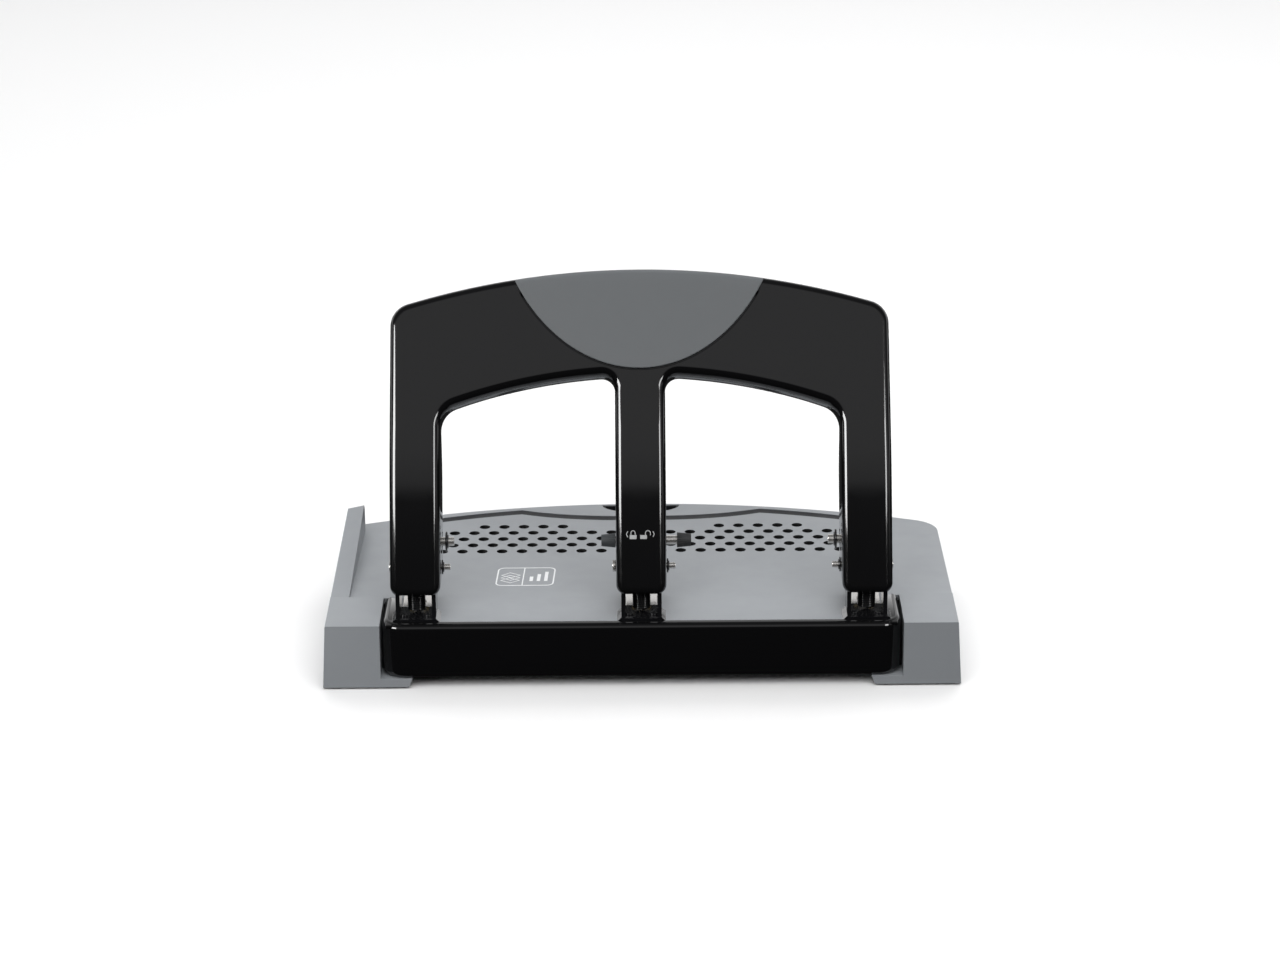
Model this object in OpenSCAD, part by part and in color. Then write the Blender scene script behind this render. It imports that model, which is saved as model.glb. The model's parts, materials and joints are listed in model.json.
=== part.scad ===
// Three-hole lever paper punch with a tall bail handle, pull-out chip tray and carry lock.
// Lengths are in millimetres. x runs along the rail, y from the rail to the tray, z is up.
// Modules measure y from the rail's front face; placed() then centres the base on the origin.

/* [Base] */
// Length of the base along the rail
base_w = 306; // [290:1:320]
// Depth of the base from the rail to the tray front
base_d = 170; // [168:1:180]
// Height of the paper platform
platform_z = 31.5; // [30:0.5:34]
// Wall thickness of the moulded base
base_wall = 2.5; // [2:0.1:3]
// Sideways draft of the base walls from floor to platform
base_draft = 1.6; // [0:0.1:3]
// Height of the paper guide at its rear end
guide_z = 46; // [38:0.5:48]

/* [Rail] */
// Length of the black rail
rail_w = 249; // [246:1:250]
// Bottom edge of the rail
rail_z0 = 5.3; // [4:0.1:7]
// Top edge of the rail
rail_z1 = 32.7; // [32:0.1:34]

/* [Punch heads] */
// Spacing of the holes
hole_pitch = 107.95; // [107:0.05:109]
// Diameter of each hole
punch_d = 7.1; // [5.5:0.1:8]
// Outside width of a head bracket
bracket_w = 19.3; // [18:0.1:20]
// Height of the paper throat above the die
throat_h = 6.7; // [5:0.1:7]
// Distance from the paper stop to the hole centres
margin = 10.5; // [9.5:0.1:11]

/* [Handle] */
// Width of each leg at its foot
leg_w = 24.1; // [23:0.1:25]
// Lean of the legs from vertical
leg_lean = 21.5; // [18:0.5:25]
// Lean of the upper plate from vertical
plate_lean = 32; // [28:0.5:36]
// Height of the handle's upper edge
handle_z = 187; // [180:1:195]
// Sheet thickness of the handle
handle_t = 1.8; // [1.5:0.1:2]
// Depth of the leg side walls
leg_depth = 28; // [26:0.5:30]
// Travel of the handle in degrees
handle_travel = 60; // [55:1:60]

/* [Lock] */
// Sideways travel of the lock pin
lock_travel = 5; // [4:0.1:5]
// Diameter of the drive pins and lock pin
drive_d = 4.4; // [4:0.1:4.6]

/* [Grille] */
// Diameter of the chip window holes
grille_d = 5.4; // [4:0.1:6]
// Spacing of the holes in a row
grille_pitch = 10; // [9:0.5:10.5]
// Distance of the first row of holes from the rail's front face
grille_y = 101; // [95:0.1:103]

/* [Hidden] */
$fn = 64;
eps = 0.01;
big = 400;

// Base
side_x = base_w / 2 - base_draft;
foot_z = 1;
rear_r = 385;
corner_r = 18;
front_z = platform_z + 0.8;
crease_y = 38;
block_z0 = 32;
block_z1 = 33;
block_x = rail_w / 2 + 0.8;
toe_x = 110;
toe_depth = 14;
toe_slant = 2.3;
rail_depth = 5;
rail_t = 2;
rail_corner_r = 8;
rail_return_y = 12;
end_floor_x = 118;
end_wall_z = 24;
end_wall_y = 37.2;
tray_half = 112;
cover_t = 1.8;
boss_spots = [[-131, 30], [131, 30], [-131, 118], [131, 118]];
foot_spots = [[-138, 16], [138, 16], [-136, 126], [136, 126]];

// Seam between platform and tray front: low in the middle, with a peak on each side
seam_y0 = 144.2;
seam_y1 = 153.9;
seam_x1 = 61.5;
seam_slope = 0.19;
seam_curve = 0.0018;
seam_gap = 6.2;
function seam_inner(x) = seam_y0 + (seam_y1 - seam_y0) * pow(x / seam_x1, 2.6);
function seam_outer(x) = seam_y1 - seam_slope * (x - seam_x1) - seam_curve * pow(x - seam_x1, 2);
function seam(x) = abs(x) < seam_x1 ? seam_inner(abs(x)) : seam_outer(abs(x));
seam_low = seam(tray_half);

// Finger hole of the tray, and the paper guide
notch_half = 20;
notch_depth = 11;
notch_y = 166.5;
web_half = 10;
web_y = 157.5;
web_z = 10;
guide_w = 9.2;
guide_rear_w = 10.3;
guide_end = 133;

// Heads
head_x = [-hole_pitch, 0, hole_pitch];
pivot_y = 20;
pivot_z = 55;
arm_y = 12.5;
punch_y = pivot_y + arm_y;
drive_z = 63.3;
arm_z = drive_z - pivot_z;
arm_start = atan(arm_z / arm_y);
stroke = arm_z + arm_y * tan(handle_travel - arm_start);
stop_y = punch_y - margin;
die_z = front_z;
throat_z = die_z + throat_h;
bracket_t = 2;
bracket_y0 = 8.5;
foot_y0 = rail_depth + 0.2;
bracket_y1 = 46;
bracket_back_z = 45.3;
bracket_in = bracket_w / 2 - bracket_t;
pivot_d = 3;
fit = 0.05;
spring_y = 15.5;
spring_r = 3.8;
wire_d = 1.1;
floor_t = 1.5;
die_len = 17.9;
rivet_d = 2;
rivet_x = 5.8;

// Handle profile, measured along and across the upper plate
leg_y0 = 3;
leg_z0 = 45.7;
bend_z = 90;
bend_r = 200;
leg_half = leg_w / 2;
handle_half = hole_pitch + leg_half;
bend_y = leg_y0 + (bend_z - leg_z0) * tan(leg_lean);
bend_end_y = bend_y + bend_r * (cos(leg_lean) - cos(plate_lean));
bend_end_z = bend_z + bend_r * (sin(plate_lean) - sin(leg_lean));
plate_len = (handle_z - bend_end_z) / cos(plate_lean);
plate_depth = 12;
top_r = 386;
top_corner_r = 11.5;
window_r = 269;
window_top = plate_len - 52;
cap_a = 72;
cap_b = 98;
cap_half = 61;
cap_drop = 50;
cap_proud = 0.7;

module placed() {
    translate([0, -base_d / 2, 0]) children();
}

module at_heads() {
    for (x = head_x) translate([x, 0, 0]) children();
}

// The two rivets that hold one bracket's foot
module at_rivets() {
    for (side = [-1, 1]) translate([side * rivet_x, bracket_y0 + 1.7, 0]) children();
}

module rod_x(d, x0, x1) {
    translate([x0, 0, 0]) rotate([0, 90, 0]) cylinder(d = d, h = x1 - x0);
}

// Extrudes a (y, z) outline along x between x0 and x1
module along_x(x0, x1) {
    translate([x0, 0, 0]) rotate([90, 0, 90]) linear_extrude(x1 - x0) children();
}

// ---- Base ----

module base_outline(inset) {
    offset(r = corner_r - inset) offset(delta = -corner_r) intersection() {
        translate([-base_w / 2, 0]) square([base_w, base_d + 1]);
        translate([0, base_d - rear_r]) circle(r = rear_r, $fn = 360);
    }
    translate([inset - base_w / 2, inset]) square([base_w - 2 * inset, base_d / 2]);
}

module base_block() {
    hull() {
        translate([0, 0, foot_z]) linear_extrude(eps) base_outline(0);
        translate([0, 0, platform_z - eps]) linear_extrude(eps) base_outline(base_draft);
    }
}

module seam_region(gap) {
    steps = 12;
    inner = [for (i = [0 : steps]) seam_x1 * i / steps];
    outer = [for (i = [1 : steps]) seam_x1 + (tray_half - seam_x1) * i / steps];
    half = concat(inner, outer);
    xs = concat([for (i = [len(half) - 1 : -1 : 1]) -half[i]], half);
    polygon(concat(
        [for (x = xs) [x, seam(x) + gap]],
        [[tray_half, base_d + 5], [-tray_half, base_d + 5]]
    ));
}

// Half ellipse of the finger hole, straight at the rear
module notch_outline(inset) {
    y = notch_y - inset;
    intersection() {
        translate([0, y]) scale([notch_half - inset, notch_depth - 2 * inset]) circle(r = 1, $fn = 64);
        translate([-notch_half, y - notch_depth]) square([2 * notch_half, notch_depth]);
    }
}

// One row of chip window holes, from skip to reach on both sides of the middle
module grille_row(y, skip, reach) {
    for (side = [-1, 1])
        for (n = [skip : reach])
            translate([side * n * grille_pitch, y, 0]) cylinder(d = grille_d, h = big, $fn = 24);
}

module grille() {
    row = grille_pitch * sin(60);
    reaches = [[0, 10], [0.5, 9.5], [0, 10], [0.5, 9.5], [4, 8]];
    for (i = [0 : len(reaches) - 1])
        grille_row(grille_y + i * row, reaches[i][0], reaches[i][1]);
}

module front_step() {
    along_x(-block_x, block_x)
        polygon([
            [0, platform_z - eps], [0, front_z], [crease_y - 1, front_z], [crease_y, platform_z - eps]
        ]);
    for (side = [0, 1]) mirror([side, 0, 0])
        along_x(block_x - eps, side_x - 0.1)
            polygon([
                [base_draft, platform_z - 1], [base_draft, block_z0], [crease_y - 1, block_z1],
                [crease_y, platform_z - eps]
            ]);
}

// Room for the returns and end floors of the rail
module rail_end_pockets() {
    for (side = [0, 1]) mirror([side, 0, 0]) {
        translate([end_floor_x - 1.8, -1, rail_z0 - 0.2])
            cube([block_x - end_floor_x + 1.8, rail_return_y + 1.3, big]);
        translate([end_floor_x - 0.2, -1, end_wall_z - 0.2])
            cube([block_x - end_floor_x + 0.2, end_wall_y + 1.2, big]);
    }
}

module base_shell() {
    roof_z = platform_z - base_wall;
    inside_z = foot_z + cover_t + 0.2;
    color([0.69, 0.71, 0.73]) placed() difference() {
        union() {
            difference() {
                union() {
                    base_block();
                    front_step();
                }
                translate([0, 0, -eps]) linear_extrude(roof_z + eps) base_outline(base_draft + base_wall);
            }
            intersection() {
                union() {
                    translate([-block_x - base_wall, rail_depth + 0.4, rail_z0])
                        cube([2 * (block_x + base_wall), base_wall, roof_z - rail_z0 + eps]);
                    for (side = [0, 1]) mirror([side, 0, 0]) {
                        translate([block_x, base_draft, inside_z])
                            cube([base_wall, crease_y, roof_z - inside_z + eps]);
                        translate([block_x, base_draft, foot_z])
                            cube([base_wall, toe_depth - base_draft, inside_z - foot_z + eps]);
                        translate([tray_half + 1, crease_y, inside_z])
                            cube([2, base_d, roof_z - inside_z + eps]);
                        translate([toe_x, base_draft, foot_z])
                            cube([block_x - toe_x, toe_depth - base_draft, rail_z0 - foot_z - 0.2]);
                    }
                    for (p = boss_spots) translate([p[0], p[1], foot_z + cover_t])
                        cylinder(d = 9, h = roof_z - foot_z - cover_t + eps);
                }
                base_block();
            }
        }
        translate([-block_x, -1, rail_z0 - 0.2]) cube([2 * block_x, rail_depth + 1.3, big]);
        rail_end_pockets();
        translate([0, toe_depth, 0]) rotate([90, 0, 0]) linear_extrude(toe_depth + 1) polygon([
            [-toe_x - toe_slant, 0], [toe_x + toe_slant, 0], [toe_x, rail_z0], [-toe_x, rail_z0]
        ]);
        translate([0, 0, inside_z]) linear_extrude(big) seam_region(0);
        translate([-tray_half - 0.5, seam_low - 1, inside_z])
            cube([2 * tray_half + 1, 40, roof_z - inside_z]);
        grille();
        at_heads() {
            translate([-bracket_in, stop_y + 2, 0]) cube([2 * bracket_in, die_len + 0.1, big]);
            at_rivets() cylinder(d = rivet_d, h = big);
        }
        for (p = boss_spots) translate([p[0], p[1], 0]) cylinder(d = 2.6, h = 16);
        for (p = foot_spots) translate([p[0], p[1], 0]) cylinder(d = 12, h = foot_z + 0.7);
    }
}

module cover_outline() {
    difference() {
        base_outline(base_draft + base_wall + 0.4);
        translate([-block_x - base_wall - 1, -1]) square([2 * (block_x + base_wall + 1), toe_depth + 3]);
    }
}

module bottom_cover() {
    color([0.12, 0.12, 0.13]) placed() difference() {
        translate([0, 0, foot_z]) linear_extrude(cover_t) cover_outline();
        for (p = boss_spots) translate([p[0], p[1], 0]) {
            cylinder(d = 3.2, h = 10);
            cylinder(d = 6.4, h = foot_z + 1.2);
        }
        for (p = foot_spots) translate([p[0], p[1], 0]) cylinder(d = 12, h = foot_z + 0.7);
    }
}

module base_screws() {
    color([0.7, 0.7, 0.72]) placed() for (p = boss_spots) translate([p[0], p[1], foot_z]) difference() {
        union() {
            cylinder(d = 6, h = 1.1);
            cylinder(d = 2.6, h = 12);
        }
        for (a = [0, 90]) rotate([0, 0, a]) translate([-1.6, -0.3, -eps]) cube([3.2, 0.6, 0.7]);
    }
}

module rubber_feet() {
    color([0.08, 0.08, 0.08]) placed() for (p = foot_spots) translate([p[0], p[1], 0])
        rotate_extrude() polygon([[0, 0], [5.2, 0], [6, 0.8], [6, foot_z + 0.6], [0, foot_z + 0.6]]);
}

// Section of the paper guide across the base: its outer side leans in and its top falls outwards
module guide_section(y, w, h) {
    lean = 0.14;
    fall = 0.12;
    translate([-side_x, y, platform_z]) rotate([90, 0, 0]) linear_extrude(eps)
        polygon([[0, 0], [w, 0], [w, h], [lean * h, h - fall * h]]);
}

module paper_guide() {
    bevel = 3;
    rear_h = guide_z - platform_z;
    front_h = block_z1 - platform_z;
    color([0.64, 0.65, 0.69]) placed() intersection() {
        hull() {
            guide_section(crease_y + 0.1, guide_w, 0.1);
            guide_section(crease_y - 1 + 0.1, guide_w, front_h);
            guide_section(guide_end - bevel, guide_rear_w, rear_h);
            guide_section(guide_end, guide_rear_w, rear_h - bevel);
        }
        translate([0, 0, platform_z]) linear_extrude(big) base_outline(base_draft);
    }
}

module rail_outline(inset) {
    half = rail_w / 2;
    r = rail_corner_r;
    intersection() {
        hull() for (side = [-1, 1]) translate([side * (half - r), r]) circle(r = r - inset);
        translate([-half, 0]) square([rail_w, r]);
    }
    translate([inset - half, r - eps]) square([rail_w - 2 * inset, rail_return_y - r + eps]);
}

module punch_rail() {
    half = rail_w / 2;
    color([0.06, 0.06, 0.065]) placed() {
        translate([0, 0, rail_z0]) linear_extrude(rail_z1 - rail_z0) difference() {
            rail_outline(0);
            translate([0, eps]) rail_outline(rail_t);
        }
        for (z = [rail_z0, rail_z1 - rail_t]) translate([0, 0, z]) linear_extrude(rail_t) intersection() {
            rail_outline(0);
            translate([-half, 0]) square([rail_w, rail_depth]);
        }
        for (side = [0, 1]) mirror([side, 0, 0]) {
            translate([half - rail_t, rail_corner_r, end_wall_z])
                cube([rail_t, end_wall_y - rail_corner_r, rail_z1 - end_wall_z]);
            translate([end_floor_x, rail_t, die_z - rail_t])
                cube([half - end_floor_x - 1, end_wall_y - rail_t, rail_t]);
        }
    }
}

// ---- Punch heads ----

module die_plate() {
    color([0.72, 0.73, 0.75]) placed() difference() {
        translate([-bracket_in + 0.05, stop_y + 2.05, die_z - 4]) cube([2 * bracket_in - 0.1, die_len, 4]);
        translate([0, punch_y, 0]) cylinder(d = punch_d + 2 * fit + 0.1, h = big);
    }
}

module die_plate_left() { translate([head_x[0], 0, 0]) die_plate(); }
module die_plate_middle() { translate([head_x[1], 0, 0]) die_plate(); }
module die_plate_right() { translate([head_x[2], 0, 0]) die_plate(); }

module bracket_wall_outline() {
    difference() {
        union() {
            translate([bracket_y0, die_z]) square([19, pivot_z - die_z]);
            translate([pivot_y, pivot_z]) circle(r = 5.5);
            translate([bracket_y0 + 5, die_z]) square([bracket_y1 - bracket_y0 - 5, bracket_back_z - die_z]);
        }
        translate([stop_y, die_z - 1]) square([big, throat_h + 1]);
        translate([bracket_y0 - 1, pivot_z]) rotate(-23) translate([-20, 0]) square([22, 30]);
    }
}

module catch_ear_outline() {
    down_z = drive_z - stroke;
    difference() {
        translate([punch_y - 5.5, bracket_back_z - 3]) square([11, 10]);
        translate([punch_y - 1.75, down_z]) square([3.5, 20]);
    }
}

module bracket_foot() {
    translate([0, 0, die_z]) difference() {
        union() {
            translate([-bracket_w / 2, foot_y0, 0]) cube([bracket_w, stop_y - foot_y0, floor_t]);
            for (side = [0, 1]) mirror([side, 0, 0]) translate([bracket_w / 2 - eps, foot_y0, 0])
                rotate([-90, 0, 0]) linear_extrude(13) polygon([[0, 0], [2, 0], [0, -2]]);
        }
        translate([0, 0, -1]) at_rivets() cylinder(d = rivet_d, h = 5);
    }
}

module head_bracket(with_catch) {
    color([0.07, 0.07, 0.075]) placed() {
        difference() {
            union() {
                for (side = [0, 1]) mirror([side, 0, 0])
                    along_x(bracket_in, bracket_in + bracket_t) bracket_wall_outline();
                if (with_catch) along_x(-bracket_w / 2, -bracket_in) catch_ear_outline();
                bracket_foot();
                translate([-bracket_in - eps, stop_y + 1.5, throat_z])
                    cube([2 * bracket_in + 2 * eps, bracket_y1 - stop_y - 1.5, 2.5]);
            }
            translate([0, pivot_y, pivot_z]) rod_x(pivot_d, -big, big);
            translate([0, punch_y, throat_z - 1]) cylinder(d = 10, h = 5);
            if (with_catch) translate([0, punch_y, drive_z - stroke])
                rod_x(drive_d + 0.6, -bracket_w, -bracket_in + 1);
        }
    }
}

module head_bracket_left() { translate([head_x[0], 0, 0]) head_bracket(false); }
module head_bracket_middle() { translate([head_x[1], 0, 0]) head_bracket(true); }
module head_bracket_right() { translate([head_x[2], 0, 0]) head_bracket(false); }

module bracket_rivets() {
    color([0.3, 0.3, 0.31]) placed() at_heads() at_rivets() {
        translate([0, 0, die_z - 4.5]) cylinder(d = rivet_d, h = 6);
        translate([0, 0, die_z + floor_t]) cylinder(d = 1.6 * rivet_d, h = 0.8);
        translate([0, 0, die_z - 4.5]) cylinder(d = 1.7 * rivet_d, h = 1.2);
    }
}

module guide_bush() {
    color([0.72, 0.6, 0.35]) placed() translate([0, punch_y, throat_z + 0.3]) difference() {
        union() {
            cylinder(d = 10, h = 2.2);
            translate([0, 0, 2.2]) cylinder(d = 12, h = 1.6);
        }
        translate([0, 0, -1]) cylinder(d = punch_d + 2 * fit, h = 10);
    }
}

module guide_bush_left() { translate([head_x[0], 0, 0]) guide_bush(); }
module guide_bush_middle() { translate([head_x[1], 0, 0]) guide_bush(); }
module guide_bush_right() { translate([head_x[2], 0, 0]) guide_bush(); }

// Pivot pin with its head on the -x side and its washer end on the +x side
module pivot_pin(head_h) {
    color([0.78, 0.78, 0.8]) placed() translate([0, pivot_y, pivot_z]) {
        rod_x(pivot_d, -leg_half - 0.2, leg_half + 4.4);
        rod_x(5.6, -leg_half - 0.15 - head_h, -leg_half - 0.15);
    }
}

module pivot_pin_left() { translate([head_x[0], 0, 0]) pivot_pin(0.6); }
module pivot_pin_middle() { translate([head_x[1], 0, 0]) pivot_pin(1.6); }
module pivot_pin_right() { translate([head_x[2], 0, 0]) mirror([1, 0, 0]) pivot_pin(0.6); }

module push_washer(d, bore, h) {
    rotate([0, 90, 0]) difference() {
        union() {
            cylinder(d = d, h = h * 0.6);
            cylinder(d = d * 0.7, h = h);
        }
        translate([0, 0, -1]) cylinder(d = bore, h = h + 2);
    }
}

module pivot_washers() {
    color([0.1, 0.1, 0.1]) placed() translate([0, pivot_y, pivot_z]) {
        for (i = [0, 1]) translate([head_x[i] + leg_half + 0.25, 0, 0]) push_washer(7, pivot_d, 1.2);
        translate([head_x[2] - leg_half - 0.25, 0, 0]) mirror([1, 0, 0]) push_washer(7, pivot_d, 1.2);
    }
}

// Open coil of square-ish round wire, swept along a helix
module coil(radius, wire, height, turns) {
    sides = 6;
    per_turn = 16;
    rings = turns * per_turn;
    function ring_point(i, j) =
        let (a = 360 * i / per_turn, b = 360 * j / sides, r = radius + wire / 2 * cos(b))
        [r * cos(a), r * sin(a), height * i / rings + wire / 2 * sin(b)];
    points = [for (i = [0 : rings]) for (j = [0 : sides - 1]) ring_point(i, j)];
    skin = [for (i = [0 : rings - 1]) for (j = [0 : sides - 1])
        let (k = (j + 1) % sides)
        [i * sides + j, i * sides + k, (i + 1) * sides + k, (i + 1) * sides + j]];
    first = [for (j = [0 : sides - 1]) sides - 1 - j];
    last = [for (j = [0 : sides - 1]) rings * sides + j];
    polyhedron(points = points, faces = concat([first], skin, [last]), convexity = 10);
}

module return_spring() {
    bottom = die_z + floor_t + 0.1 + wire_d / 2;
    top = leg_z0 - 0.3 - wire_d / 2;
    color([0.16, 0.16, 0.17]) placed() translate([0, spring_y, bottom])
        coil(spring_r, wire_d, top - bottom, 4);
}

module return_spring_left() { translate([head_x[0], 0, 0]) return_spring(); }
module return_spring_middle() { translate([head_x[1], 0, 0]) return_spring(); }
module return_spring_right() { translate([head_x[2], 0, 0]) return_spring(); }

// ---- Handle ----

// Side profile of the handle between the front face and the given depth, as (y, z) points
function arc_point(a, depth) = [
    bend_y + bend_r * (cos(leg_lean) - cos(a)) + depth * cos(a),
    bend_z + bend_r * (sin(a) - sin(leg_lean)) - depth * sin(a)
];
function leg_foot(depth) = [leg_y0 + depth * cos(leg_lean), leg_z0 - depth * sin(leg_lean)];
function plate_point(w, depth) = [
    bend_end_y + w * sin(plate_lean) + depth * cos(plate_lean),
    bend_end_z + w * cos(plate_lean) - depth * sin(plate_lean)
];

function profile_line(depth, top) = concat(
    [leg_foot(depth)],
    [for (i = [0 : 6]) arc_point(leg_lean + (plate_lean - leg_lean) * i / 6, depth)],
    [plate_point(top, depth)]
);
function reversed(list) = [for (i = [len(list) - 1 : -1 : 0]) list[i]];

module handle_side(depth0, depth1, top) {
    polygon(concat(profile_line(depth0, top), reversed(profile_line(depth1, top))));
}

// Depth envelope: deep at the legs, shallow along the upper plate
module depth_envelope() {
    polygon([
        [-20, leg_z0], [30, leg_z0], [46, 82], [52, 96], plate_point(12, plate_depth),
        plate_point(plate_len + 20, plate_depth), [-20, handle_z + 60]
    ]);
}

// Front outline of the handle in the plane of the upper plate; y is measured up the plate
module plate_outline(grow) {
    foot_w = -120;
    difference() {
        offset(r = grow) offset(r = top_corner_r) offset(delta = -top_corner_r) intersection() {
            translate([-handle_half, foot_w]) square([2 * handle_half, plate_len - foot_w + 10]);
            translate([0, plate_len - top_r]) circle(r = top_r, $fn = 720);
        }
        for (side = [0, 1]) mirror([side, 0]) offset(r = -grow) window_outline(foot_w);
    }
}

module window_outline(foot_w) {
    inner = leg_half;
    outer = hole_pitch - leg_half;
    inner_r = 6.5;
    outer_r = 11;
    offset(r = inner_r) offset(delta = -inner_r) intersection() {
        translate([inner, 2 * foot_w]) square([outer - inner, big]);
        translate([0, window_top - window_r]) circle(r = window_r, $fn = 720);
    }
}

module plate_prism(grow) {
    translate([0, bend_end_y, bend_end_z]) rotate([90 - plate_lean, 0, 0])
        translate([0, 0, -big / 2]) linear_extrude(big) plate_outline(grow);
}

// The pins travel straight down while the legs turn, so each leg has a slot aimed at the pivot
module drive_slot() {
    play = 0.65;
    reach0 = arm_y - 0.5;
    reach1 = norm([arm_y, arm_z]) + 0.5;
    translate([0, pivot_y, pivot_z]) rotate([arm_start, 0, 0]) {
        for (reach = [reach0, reach1]) translate([0, reach, 0]) rod_x(drive_d + 2 * play, -big, big);
        translate([-big, reach0, -drive_d / 2 - play]) cube([2 * big, reach1 - reach0, drive_d + 2 * play]);
    }
}

module spring_tabs() {
    at_heads() translate([-3, 0, leg_z0]) {
        difference() {
            translate([0, leg_y0 + 1, 0]) cube([6, 16, 1.5]);
            translate([3, spring_y, -1]) cylinder(d = 2.5, h = 5);
        }
    }
}

module handle_shell() {
    color([0.07, 0.07, 0.075]) placed() difference() {
        union() {
            difference() {
                intersection() {
                    along_x(-handle_half - 5, handle_half + 5) handle_side(0, 60, plate_len + 30);
                    along_x(-handle_half - 6, handle_half + 6) depth_envelope();
                    plate_prism(0);
                }
                intersection() {
                    along_x(-handle_half - 5, handle_half + 5) handle_side(handle_t, 80, plate_len + 40);
                    plate_prism(-handle_t);
                }
            }
            spring_tabs();
        }
        translate([0, pivot_y, pivot_z]) rod_x(pivot_d + 2 * fit, -big, big);
        drive_slot();
    }
}

module cap_outline() {
    intersection() {
        translate([0, plate_len - cap_drop + cap_b]) scale([cap_a, cap_b]) circle(r = 1, $fn = 200);
        translate([0, plate_len - top_r]) circle(r = top_r - 0.6, $fn = 720);
    }
}

module grip_cap() {
    color([0.44, 0.45, 0.46]) placed() intersection() {
        translate([0, bend_end_y, bend_end_z]) rotate([90 - plate_lean, 0, 0])
            translate([0, 0, -big / 2]) linear_extrude(big) cap_outline();
        along_x(-cap_half - 10, cap_half + 10) polygon(concat(
            [for (w = [-5, plate_len + 10]) plate_point(w, -cap_proud)],
            [for (w = [plate_len + 10, -5]) plate_point(w, 0)]
        ));
    }
}

// ---- Moving punch parts ----

module punch() {
    tip = throat_z + 0.6;
    head_d = 11;
    head_h = 10;
    color([0.75, 0.76, 0.78]) placed() translate([0, punch_y, 0]) difference() {
        union() {
            translate([0, 0, tip]) cylinder(d = punch_d, h = drive_z - tip);
            translate([0, 0, drive_z - head_h / 2]) cylinder(d = head_d, h = head_h);
        }
        translate([0, 0, drive_z]) rod_x(drive_d, -big, big);
        translate([0, 0, tip]) rotate([0, 90, 0]) translate([0, 0, -20]) cylinder(d = 2.4, h = 40);
    }
}

module punch_left() { translate([head_x[0], 0, 0]) punch(); }
module punch_right() { translate([head_x[2], 0, 0]) punch(); }

module punch_middle() {
    difference() {
        translate([head_x[1], 0, 0]) punch();
        color([0.75, 0.76, 0.78]) placed() translate([0, punch_y, drive_z])
            rod_x(drive_d + 2 * fit, -big, big);
    }
}

// Drive pin with its flat head on the -x side and its washer end on the +x side
module drive_pin() {
    color([0.78, 0.78, 0.8]) placed() translate([0, punch_y, drive_z]) {
        rod_x(drive_d, -leg_half - 0.3, leg_half + 5.8);
        rod_x(8.5, -leg_half - 0.9, -leg_half - 0.3);
    }
}

module drive_washer() {
    color([0.1, 0.1, 0.1]) placed() translate([leg_half + 1.7, punch_y, drive_z])
        push_washer(9.6, drive_d, 1.4);
}

module drive_pin_left() { translate([head_x[0], 0, 0]) drive_pin(); }
module drive_pin_right() { translate([head_x[2], 0, 0]) mirror([1, 0, 0]) drive_pin(); }
module drive_washers_left() { translate([head_x[0], 0, 0]) drive_washer(); }
module drive_washers_right() { translate([head_x[2], 0, 0]) mirror([1, 0, 0]) drive_washer(); }

// Lock pin: its narrow neck passes the catch slot, its full diameter does not
module lock_pin() {
    neck_d = 2.8;
    color([0.78, 0.78, 0.8]) placed() translate([0, punch_y, drive_z]) {
        rod_x(drive_d, -leg_half - 6, -bracket_w / 2 - 0.6);
        rod_x(neck_d, -bracket_w / 2 - 0.7, -bracket_in + 0.6);
        rod_x(drive_d, -bracket_in + 0.5, leg_half + lock_travel + 6);
    }
}

module lock_knob(inner_d, outer_d) {
    knob_l = 6.8;
    ribs = 18;
    color([0.3, 0.31, 0.32]) difference() {
        rotate([0, 90, 0]) cylinder(d1 = inner_d, d2 = outer_d, h = knob_l);
        rod_x(drive_d, -1, knob_l - 1);
        for (i = [0 : ribs - 1]) rotate([i * 360 / ribs, 0, 0])
            translate([-1, inner_d / 2 + 0.1, 0]) rotate([0, 90, -2])
                cylinder(d = 0.7, h = knob_l + 2, $fn = 16);
    }
}

module lock_knob_left() {
    placed() translate([-leg_half - 0.3, punch_y, drive_z]) mirror([1, 0, 0]) lock_knob(6.9, 5.6);
}

module lock_knob_right() {
    placed() translate([leg_half + 0.3 + lock_travel, punch_y, drive_z]) lock_knob(7.3, 6);
}

// ---- Chip tray ----

module tray_floor_outline() {
    intersection() {
        translate([-tray_half + 0.6, 27]) square([2 * tray_half - 1.2, base_d]);
        base_outline(base_draft + 1);
    }
}

module chip_tray() {
    bottom = foot_z + cover_t + 0.4;
    side_top = 25;
    front_top = 22.5;
    wall = 1.8;
    top = platform_z - 0.2;
    pocket_y = 27 + wall;
    color([0.25, 0.27, 0.29]) placed() difference() {
        union() {
            translate([0, 0, bottom]) linear_extrude(side_top - bottom) difference() {
                tray_floor_outline();
                seam_region(seam_gap);
            }
            intersection() {
                translate([0, 0, bottom]) linear_extrude(top - bottom) difference() {
                    seam_region(0.35);
                    seam_region(seam_gap);
                }
                translate([0, 0, -eps]) linear_extrude(big) base_outline(base_draft + 0.5);
            }
            translate([0, 0, bottom]) linear_extrude(top - bottom) notch_outline(0.3);
            translate([0.3 - web_half, seam_y0, bottom])
                cube([2 * web_half - 0.6, web_y - seam_y0, web_z - bottom]);
        }
        translate([-tray_half + 0.6 + wall, pocket_y, bottom + wall])
            cube([2 * (tray_half - 0.6 - wall), seam_low + seam_gap - wall - 0.5 - pocket_y, big]);
        translate([-big, 20, front_top]) cube([2 * big, 20, big]);
        translate([0, 0, 12]) linear_extrude(big) notch_outline(1.6);
    }
}

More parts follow.
